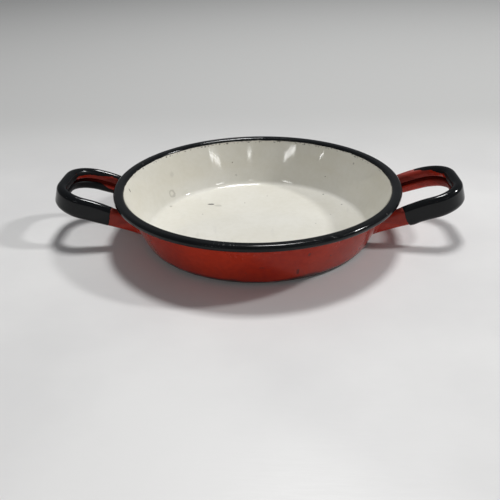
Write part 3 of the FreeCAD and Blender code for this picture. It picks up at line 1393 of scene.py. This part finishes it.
    def foot(self, name: str, flip: float, lift: float,
             finish: bpy.types.Material) -> bpy.types.Object:
        """Pillow-edged pad that lies on the wall and carries one leg.

        Args:
            name: the mesh's name.
            flip: 1 for the far leg, -1 for the near one.
            lift: how far it stands off the red coat.
            finish: its material.

        Returns:
            The closed pad.
        """
        rows, columns = self.foot_rows, self.foot_columns
        low, high = self.foot_heights
        begin, end = self.foot_span
        verts: list[Triple] = []
        for upper in (True, False):
            for row in range(rows + 1):
                z = low + (high - low) * (0.5 - 0.5 * math.cos(math.pi * row / rows))
                for column in range(columns + 1):
                    across = 0.5 - 0.5 * math.cos(math.pi * column / columns)
                    y = begin + (end - begin) * across
                    dome = rolled(self._inset(y, z) / self.foot_roll)
                    height = (lift + self.foot_sink) * dome - self.foot_sink
                    reach = self.bowl.wall_reach(z, height if upper else -self.foot_depth)
                    x = math.sqrt(reach * reach - y * y)
                    verts.append((x * self.side.value, y * flip, z))
        mesh = bpy.data.meshes.new(name)
        mesh.from_pydata(verts, [], shell_faces(rows + 1, columns + 1))
        return finished(name, mesh, finish)

    def _inset(self, y: float, z: float) -> float:
        """Distance inside the foot's round-cornered outline, 0 on it or outside."""
        low, high = self.foot_heights
        begin, end = self.foot_span
        side_y = min(y - begin + self.foot_lead, end - y)
        side_z = min(z - low, high - z)
        corner = self.foot_corner
        if side_y < corner and side_z < corner:
            return max(0.0, corner - math.hypot(corner - side_y, corner - side_z))
        return min(side_y, side_z)

    def build_strip(self, sweep: SweptSkin, finish: bpy.types.Material) -> bpy.types.Object:
        """The bare curled strip inside the glaze."""
        loop = sweep.make(self.prefix + "_strip_loop", self.rail(), self.curl(self.strip), finish)
        parts = [self.placed(loop)]
        lift = self.strip * self.foot_share
        parts += [self.foot(self.prefix + "_pad", flip, lift, finish) for flip in (1.0, -1.0)]
        return joined(self.prefix + "_strip", parts, finish)

    def build_red(self, sweep: SweptSkin, finish: bpy.types.Material) -> bpy.types.Object:
        """The red glaze on the whole strip and both feet."""
        thickness = self.strip + 2 * self.glaze
        loop = sweep.make(self.prefix + "_red_loop", self.rail(), self.curl(thickness), finish)
        parts = [self.placed(loop)]
        lift = self.strip * self.foot_share + self.glaze
        parts += [self.foot(self.prefix + "_red_pad", flip, lift, finish)
                  for flip in (1.0, -1.0)]
        return joined(self.prefix + "_red_coat", parts, finish)

    def build_black(self, finish: bpy.types.Material) -> bpy.types.Object:
        """The black glaze over the grip, with wandering, rounded edges and runs."""
        leg = self.half_path.mark(2) + (self.loop_reach - self.bend_radius)
        first = -(leg - self.dip.near)
        last = leg - self.dip.far
        skin = self.strip / 2 + self.glaze
        coat = self.coat
        along = self._steps(last - first, coat.gap_along)
        across = self._steps(coat.girth, coat.gap_round)
        verts: list[Vector] = []
        soot: list[float] = []
        for upper in (True, False):
            for u in along:
                for v in across:
                    place, round_place, lift = self._black_spot(first, last, u, v)
                    point, out = self.path(place)
                    local = self.around(round_place, skin + (lift if upper else -coat.depth))
                    verts.append(point + out * local[0] + UP * (local[1] * self.rise(point)))
                    # On the black glaze this share only dulls the gloss on the loop's inner side; it
                    # paints no shade.
                    soot.append(clamped((-local[0] / MM - coat.thin_from) / coat.thin_fade))
        mesh = bpy.data.meshes.new(self.prefix + "_black")
        mesh.from_pydata([tuple(vert) for vert in verts], [],
                         shell_faces(len(along), len(across)))
        mesh.attributes.new("soot", "FLOAT", "POINT").data.foreach_set("value", soot)
        piece = finished(self.prefix + "_black_coat", mesh, finish)
        return self.placed(piece)

    def _black_spot(self, first: float, last: float, u: float,
                    v: float) -> Triple:
        """One spot of the black glaze.

        Args:
            first: where the glaze starts along the loop.
            last: where it ends.
            u: share of the way along.
            v: share of the way round.

        Returns:
            Distance along the loop, distance round the section, and height over the red glaze.
        """
        dip, coat = self.dip, self.coat
        begin = first + dip.slant * (v - 0.5)
        begin += self._stray(v * coat.stray_turns, 1.0, coat.near_stray)
        end = last + self._stray(v * coat.stray_turns, 2.0, coat.far_stray)
        place = begin + (end - begin) * u
        top = spread(dip.top, place) + self._stray(place / MM, 3.0, coat.top_stray)
        bottom = spread(dip.bottom, place)
        bottom += self._stray(place / MM, 4.0, coat.bottom_stray)
        round_place = top + (bottom - top) * v
        edge = min(place - begin, end - place, round_place - top, bottom - round_place)
        lift = coat.thickness * rolled(edge / coat.roll) - coat.sink
        for run in dip.runs:
            away = ((place - run.along) / coat.run_along) ** 2
            away += ((round_place - run.round) / coat.run_round) ** 2
            lift += run.size * math.exp(-away) * clamped(edge / coat.roll)
        return place, round_place, lift

    @staticmethod
    def _steps(length: float, gap: float) -> list[float]:
        """Shares from 0 to 1, close together at both ends."""
        ends = [step * MM / length for step in (0.0, 0.04, 0.1, 0.2, 0.34, 0.5, 0.75)]
        middle = ends[-1]
        count = max(2, round(length / gap))
        inner = [middle + (1 - 2 * middle) * number / count for number in range(1, count)]
        return ends + inner + [1 - item for item in reversed(ends)]

    def _stray(self, place: float, row: float, size: float) -> float:
        """How far an edge of the black glaze strays at a place, in steps of about a millimetre."""
        seed = self.dip.seed
        slow = noise.noise(Vector((place * 0.16, row * 7.1, seed)))
        quick = noise.noise(Vector((place * 0.55, row * 3.3, seed + 5.0)))
        return size * (slow * 1.3 + quick * 0.7)

    def build(self, sweep: SweptSkin, finishes: dict[Zone, bpy.types.Material]) -> None:
        """Make the handle's three pieces and dress its welds.

        Args:
            sweep: the sweeping tree.
            finishes: material of each zone.
        """
        settle(self.build_strip(sweep, finishes[Zone.STRIP]), Zone.STRIP, self.node)
        settle(self.build_red(sweep, finishes[Zone.RED]), Zone.RED, self.node + "_red_enamel")
        settle(self.build_black(finishes[Zone.BLACK]), Zone.BLACK, self.node + "_black_enamel")
        for foot in ("near", "far"):
            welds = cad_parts[f"{self.node}_{foot}_welds"]
            welds.data.materials.clear()
            welds.data.materials.append(finishes[Zone.WELD])
            LOG.info("%s: dressed", welds.name)


# ---------------------------------------------------------------------------------------------
# Studio
# ---------------------------------------------------------------------------------------------


@dataclass(frozen=True)
class Lamp:
    """An area light aimed at the pan: where it hangs, its width and height, and its power."""

    name: str
    place: Vector
    size: Pair
    power: float
    diffuse: bool = True
    glossy: bool = True

    def hang(self) -> None:
        """Put the light in the scene."""
        data = bpy.data.lights.new(self.name, "AREA")
        data.shape = "RECTANGLE"
        data.size, data.size_y = self.size
        data.energy = self.power
        lamp = bpy.data.objects.new(self.name, data)
        lamp.location = self.place
        lamp.rotation_euler = (-self.place).to_track_quat("-Z", "Y").to_euler()
        lamp.visible_diffuse = self.diffuse
        lamp.visible_glossy = self.glossy
        bpy.context.scene.collection.objects.link(lamp)


@dataclass(frozen=True)
class Glint:
    """A window that shows at a spot of the bowl, in millimetres, which way, and its size."""

    spot: Vector
    way: Vector
    size: Pair


LAMPS = (
    Lamp("overhead", Vector((0.12, 0.52, 1.45)), (0.30, 0.30), 15.0),
    Lamp("right_window", Vector((1.38, 0.14, 1.15)), (0.16, 0.16), 13.0),
    Lamp("front_fill", Vector((-0.5, -1.9, 1.1)), (1.4, 0.8), 6.0, glossy=False),
)
GLINTS = (
    Glint(Vector((-31.0, 66.1, 22.4)), Vector((0.64, -0.65, 0.41)), (0.32, 0.034)),
    Glint(Vector((-7.2, 72.2, 21.6)), Vector((0.14, -0.88, 0.45)), (0.14, 0.030)),
    Glint(Vector((20.2, 70.5, 23.4)), Vector((-0.47, -0.77, 0.43)), (0.36, 0.036)),
    Glint(Vector((41.0, 61.2, 24.0)), Vector((-0.84, -0.41, 0.36)), (0.11, 0.016)),
)


@dataclass
class Studio:
    """Pale floor, soft light and the camera."""

    eye: Vector = field(default_factory=lambda: Vector((11.47 * MM, -331.49 * MM, 163.87 * MM)))
    pitch: float = math.radians(28.35)
    yaw: float = math.radians(-2.85)
    roll: float = math.radians(-1.38)
    lens: float = 44.63
    floor_size: float = 6.0
    window_distance: float = 2.2
    window_power: float = 42.0
    sky: Colour = (0.80, 0.82, 0.85, 1.0)
    sky_strength: float = 0.20
    sensor: float = 36.0
    nearest: float = 0.01

    def build(self) -> None:
        """Make the floor, the lights and the camera."""
        self.make_floor()
        self.make_sky()
        for lamp in LAMPS:
            lamp.hang()
        for number, glint in enumerate(GLINTS):
            width, height = glint.size
            Lamp(f"window_{number}", glint.spot * MM + glint.way * self.window_distance,
                 glint.size, self.window_power * width * height, diffuse=False).hang()
        self.set_tone()
        self.make_camera()

    def make_floor(self) -> None:
        """Flat pale floor under the base."""
        half = self.floor_size / 2
        mesh = bpy.data.meshes.new("floor")
        mesh.from_pydata([(-half, -half, 0.0), (half, -half, 0.0), (half, half, 0.0),
                          (-half, half, 0.0)], [], [(0, 1, 2, 3)])
        mesh.materials.append(Tabletop().make())
        floor = bpy.data.objects.new("floor", mesh)
        bpy.context.scene.collection.objects.link(floor)

    @staticmethod
    def set_tone() -> None:
        """Show colours as they are lit, without a film curve."""
        bpy.context.scene.view_settings.view_transform = "Standard"

    def make_sky(self) -> None:
        """Even grey surroundings."""
        world = bpy.data.worlds.new("studio")
        world.use_nodes = True
        back = world.node_tree.nodes["Background"]
        back.inputs["Color"].default_value = self.sky
        back.inputs["Strength"].default_value = self.sky_strength
        bpy.context.scene.world = world

    def make_camera(self) -> None:
        """Camera at eye height, turned by yaw, pitch and roll."""
        ahead = Vector((math.sin(self.yaw) * math.cos(self.pitch),
                        math.cos(self.yaw) * math.cos(self.pitch), -math.sin(self.pitch)))
        right = Vector((math.cos(self.yaw), -math.sin(self.yaw), 0.0))
        above = right.cross(ahead)
        turned = right * math.cos(self.roll) + above * math.sin(self.roll)
        top = above * math.cos(self.roll) - right * math.sin(self.roll)
        data = bpy.data.cameras.new("camera")
        data.sensor_width = self.sensor
        data.lens = self.lens
        data.clip_start = self.nearest
        camera = bpy.data.objects.new("camera", data)
        turn = Matrix((turned, top, -ahead)).transposed().to_4x4()
        camera.matrix_world = Matrix.Translation(self.eye) @ turn
        bpy.context.scene.collection.objects.link(camera)
        bpy.context.scene.camera = camera


RIGHT_DIP = Dip(
    near=85.0 * MM, far=99.0 * MM,
    top=((-46 * MM, 3.0 * MM), (-18 * MM, 2.2 * MM), (-10 * MM, -0.8 * MM), (3 * MM, -0.8 * MM),
         (11 * MM, 2.2 * MM), (24 * MM, 3.3 * MM), (34 * MM, 4.2 * MM)),
    bottom=((-46 * MM, 18.6 * MM), (0.0, 18.2 * MM), (34 * MM, 18.6 * MM)),
    runs=(Run(-42.5 * MM, 17.0 * MM, 0.7 * MM),), slant=2.4 * MM, seed=1.0)
LEFT_DIP = Dip(
    near=85.2 * MM, far=76.0 * MM,
    top=((-46 * MM, 3.0 * MM), (-22 * MM, 0.6 * MM), (-15 * MM, -1.5 * MM), (7 * MM, -1.5 * MM),
         (12 * MM, 2.0 * MM), (50 * MM, 3.4 * MM)),
    bottom=((-46 * MM, 18.6 * MM), (-16 * MM, 24.0 * MM), (26 * MM, 24.0 * MM),
            (36 * MM, 21.4 * MM), (46 * MM, 18.6 * MM), (50 * MM, 18.2 * MM)),
    seed=2.0)
HANDLES = ((Side.RIGHT, RIGHT_DIP, 116.2 * MM), (Side.LEFT, LEFT_DIP, 115.8 * MM))


def main() -> None:
    """Build the pan piece by piece, then the studio around it."""
    logging.basicConfig(level=logging.INFO, format="%(name)s: %(message)s")
    finishes = {
        Zone.STEEL: Steel("pressed_steel").make(),
        Zone.STRIP: Steel("strip_steel").make(),
        Zone.WELD: Steel("weld_steel", (0.22, 0.22, 0.24, 1.0)).make(),
        Zone.WHITE: WHITE_GLAZE.make(),
        Zone.RED: RED_GLAZE.make(),
        Zone.BLACK: BLACK_GLAZE.make(),
    }
    sweep = SweptSkin()
    bowl = Bowl()
    bowl.build(sweep, finishes)
    for side, dip, reach in HANDLES:
        Handle(side, bowl, dip, loop_reach=reach).build(sweep, finishes)
    Studio().build()


if __name__ == "__main__":
    main()
